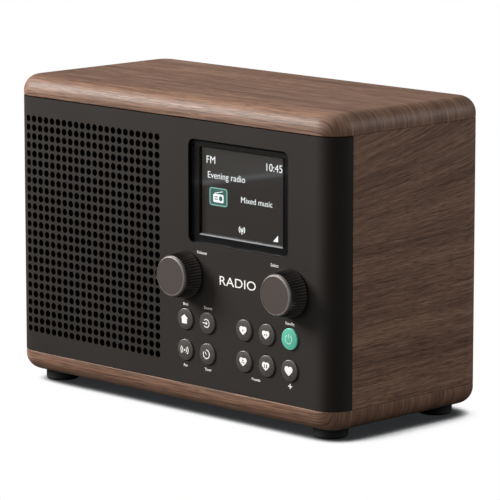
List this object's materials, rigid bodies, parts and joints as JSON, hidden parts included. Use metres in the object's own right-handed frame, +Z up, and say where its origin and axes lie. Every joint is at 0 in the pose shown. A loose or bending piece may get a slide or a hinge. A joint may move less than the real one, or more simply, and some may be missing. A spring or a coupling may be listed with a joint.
{
  "type": "tabletop radio",
  "caption": "Wood-cased tabletop radio with a perforated front, recessed screen, two ridged knobs, push buttons, rubber feet and a folding telescopic antenna behind.",
  "frame": {"origin": "on the table, under the middle of the radio's whole box, knobs and antenna included", "axes": "+Z up, +Y from the front panel to the back, +X to the right of someone facing the front"},
  "size_m": [0.2, 0.113, 0.1397],
  "materials": {
    "veneer": "walnut veneer, satin",
    "front_plastic": "fine matt texture",
    "back_plastic": "fine matt texture",
    "cloth": "black acoustic cloth",
    "lens": "clear gloss",
    "border": "black satin",
    "screen": "lit display",
    "tray": "white moulding",
    "knob_skirt": "ridged, with a bright front edge",
    "knob_face": "satin",
    "button": "satin with white symbols",
    "standby_button": "green with a pale symbol",
    "steel": "plain",
    "chrome": "bright",
    "zinc_screw": "black zinc",
    "circuit_board": "green solder mask",
    "switch": "black moulding",
    "socket": "black moulding",
    "fibreboard": "raw fibreboard",
    "magnet": "plated ferrite",
    "cone_paper": "black paper",
    "surround_rubber": "black rubber",
    "foot_rubber": "black rubber",
    "wire": "insulated wire",
    "flat_cable": "flat cable"
  },
  "bodies": {
    "cabinet": {"top_board": "veneer", "bottom_board": "veneer", "left_side_panel": "veneer", "right_side_panel": "veneer", "front_panel": "front_plastic", "back_cover": "back_plastic", "grille_cloth": "cloth", "window_lens": "lens", "display_bezel": "border", "lcd_panel": "screen", "lcd_backlight": "tray", "tact_switches": "switch", "control_board": "circuit_board", "speaker_baffle": "fibreboard", "speaker_basket": "steel", "speaker_magnet": "magnet", "speaker_cone": "cone_paper", "speaker_surround": "surround_rubber", "speaker_dust_cap": "cone_paper", "voice_coil": "steel", "main_board": "circuit_board", "tuner_module": "steel", "power_inlet": "steel", "aux_socket": "socket", "headphone_socket": "socket", "speaker_lead": "wire", "antenna_lead": "wire", "ribbon_cable": "flat_cable", "display_flex": "flat_cable", "feet": "foot_rubber", "foot_screws": "zinc_screw", "cover_screws": "zinc_screw", "chassis_screws": "zinc_screw", "volume_encoder": "steel", "select_encoder": "steel"},
    "volume_dial": {"volume_knob": "knob_skirt", "volume_knob_cap": "knob_face", "volume_shaft": "steel"},
    "select_push": {"select_push_contact": "switch"},
    "select_dial": {"select_knob": "knob_skirt", "select_knob_cap": "knob_face", "select_shaft": "steel"},
    "antenna_swivel": {"antenna_turret": "steel", "antenna_pin": "steel"},
    "antenna_arm": {"antenna_knuckle": "chrome", "antenna_tube_1": "chrome"},
    "antenna_section_2": {"antenna_tube_2": "chrome"},
    "antenna_section_3": {"antenna_tube_3": "chrome"},
    "antenna_section_4": {"antenna_tube_4": "chrome"},
    "antenna_end": {"antenna_tip": "chrome"},
    "button_home": {"button_home": "button"},
    "button_source": {"button_source": "button"},
    "button_preset_1": {"button_preset_1": "button"},
    "button_preset_2": {"button_preset_2": "button"},
    "button_standby": {"button_standby": "standby_button"},
    "button_pair": {"button_pair": "button"},
    "button_timer": {"button_timer": "button"},
    "button_preset_3": {"button_preset_3": "button"},
    "button_preset_4": {"button_preset_4": "button"},
    "button_favourite": {"button_favourite": "button"}
  },
  "joints": [
    {"name": "home_press", "type": "slide", "parent": "cabinet", "child": "button_home", "axis": [0, 1, 0], "range_m": [0, 0.0005], "stiffness_N_per_m": 3000, "springref_m": -0.0002},
    {"name": "source_press", "type": "slide", "parent": "cabinet", "child": "button_source", "axis": [0, 1, 0], "range_m": [0, 0.0005], "stiffness_N_per_m": 3000, "springref_m": -0.0002},
    {"name": "preset_1_press", "type": "slide", "parent": "cabinet", "child": "button_preset_1", "axis": [0, 1, 0], "range_m": [0, 0.0005], "stiffness_N_per_m": 3000, "springref_m": -0.0002},
    {"name": "preset_2_press", "type": "slide", "parent": "cabinet", "child": "button_preset_2", "axis": [0, 1, 0], "range_m": [0, 0.0005], "stiffness_N_per_m": 3000, "springref_m": -0.0002},
    {"name": "standby_press", "type": "slide", "parent": "cabinet", "child": "button_standby", "axis": [0, 1, 0], "range_m": [0, 0.0005], "stiffness_N_per_m": 3000, "springref_m": -0.0002},
    {"name": "pair_press", "type": "slide", "parent": "cabinet", "child": "button_pair", "axis": [0, 1, 0], "range_m": [0, 0.0005], "stiffness_N_per_m": 3000, "springref_m": -0.0002},
    {"name": "timer_press", "type": "slide", "parent": "cabinet", "child": "button_timer", "axis": [0, 1, 0], "range_m": [0, 0.0005], "stiffness_N_per_m": 3000, "springref_m": -0.0002},
    {"name": "preset_3_press", "type": "slide", "parent": "cabinet", "child": "button_preset_3", "axis": [0, 1, 0], "range_m": [0, 0.0005], "stiffness_N_per_m": 3000, "springref_m": -0.0002},
    {"name": "preset_4_press", "type": "slide", "parent": "cabinet", "child": "button_preset_4", "axis": [0, 1, 0], "range_m": [0, 0.0005], "stiffness_N_per_m": 3000, "springref_m": -0.0002},
    {"name": "favourite_press", "type": "slide", "parent": "cabinet", "child": "button_favourite", "axis": [0, 1, 0], "range_m": [0, 0.0005], "stiffness_N_per_m": 3000, "springref_m": -0.0002},
    {"name": "volume_turn", "type": "hinge", "parent": "cabinet", "child": "volume_dial", "pos_m": [0.0114, -0.04695, 0.0625], "axis": [0, 1, 0], "continuous": true},
    {"name": "select_press", "type": "slide", "parent": "cabinet", "child": "select_push", "axis": [0, 1, 0], "range_m": [0, 0.0005], "stiffness_N_per_m": 6000, "springref_m": -0.0002},
    {"name": "select_turn", "type": "hinge", "parent": "select_push", "child": "select_dial", "pos_m": [0.0746, -0.04695, 0.0625], "axis": [0, 1, 0], "continuous": true},
    {"name": "antenna_turn", "type": "hinge", "parent": "cabinet", "child": "antenna_swivel", "pos_m": [0.074, 0.04755, 0.116], "axis": [0, 1, 0], "range_deg": [0, 180]},
    {"name": "antenna_tilt", "type": "hinge", "parent": "antenna_swivel", "child": "antenna_arm", "pos_m": [0.074, 0.05305, 0.116], "axis": [0, 0, -1], "range_deg": [0, 90]},
    {"name": "antenna_slide_1", "type": "slide", "parent": "antenna_arm", "child": "antenna_section_2", "axis": [-1, 0, 0], "range_m": [0, 0.12]},
    {"name": "antenna_slide_2", "type": "slide", "parent": "antenna_section_2", "child": "antenna_section_3", "axis": [-1, 0, 0], "range_m": [0, 0.12]},
    {"name": "antenna_slide_3", "type": "slide", "parent": "antenna_section_3", "child": "antenna_section_4", "axis": [-1, 0, 0], "range_m": [0, 0.12]},
    {"name": "antenna_slide_4", "type": "slide", "parent": "antenna_section_4", "child": "antenna_end", "axis": [-1, 0, 0], "range_m": [0, 0.12]}
  ]
}
